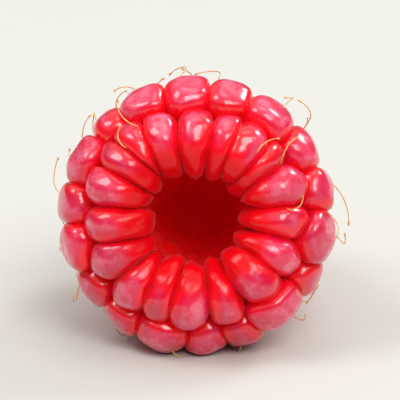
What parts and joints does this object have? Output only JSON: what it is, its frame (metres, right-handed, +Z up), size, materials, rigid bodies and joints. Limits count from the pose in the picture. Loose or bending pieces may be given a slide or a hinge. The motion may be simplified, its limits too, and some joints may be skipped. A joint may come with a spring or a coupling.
{
  "type": "raspberry",
  "caption": "Picked ripe raspberry lying on its flank, a hollow fruit of pressed-together drupelets with its mouth facing forward and up.",
  "frame": {"origin": "centre of the bounding box, on the surface the fruit rests on", "axes": "+Z up; the fruit's axis lies in the YZ plane, with the open mouth towards -Y and tipped up, and the closed tip towards +Y; +X across the fruit"},
  "size_m": [0.0228, 0.0266, 0.022],
  "materials": {
    "flesh": "ripe red raspberry skin: translucent, glossy drupelets with a faint pale bloom, deeper saturated red in the creases between them"
  },
  "bodies": {
    "root": {"raspberry": "flesh"}
  },
  "joints": []
}
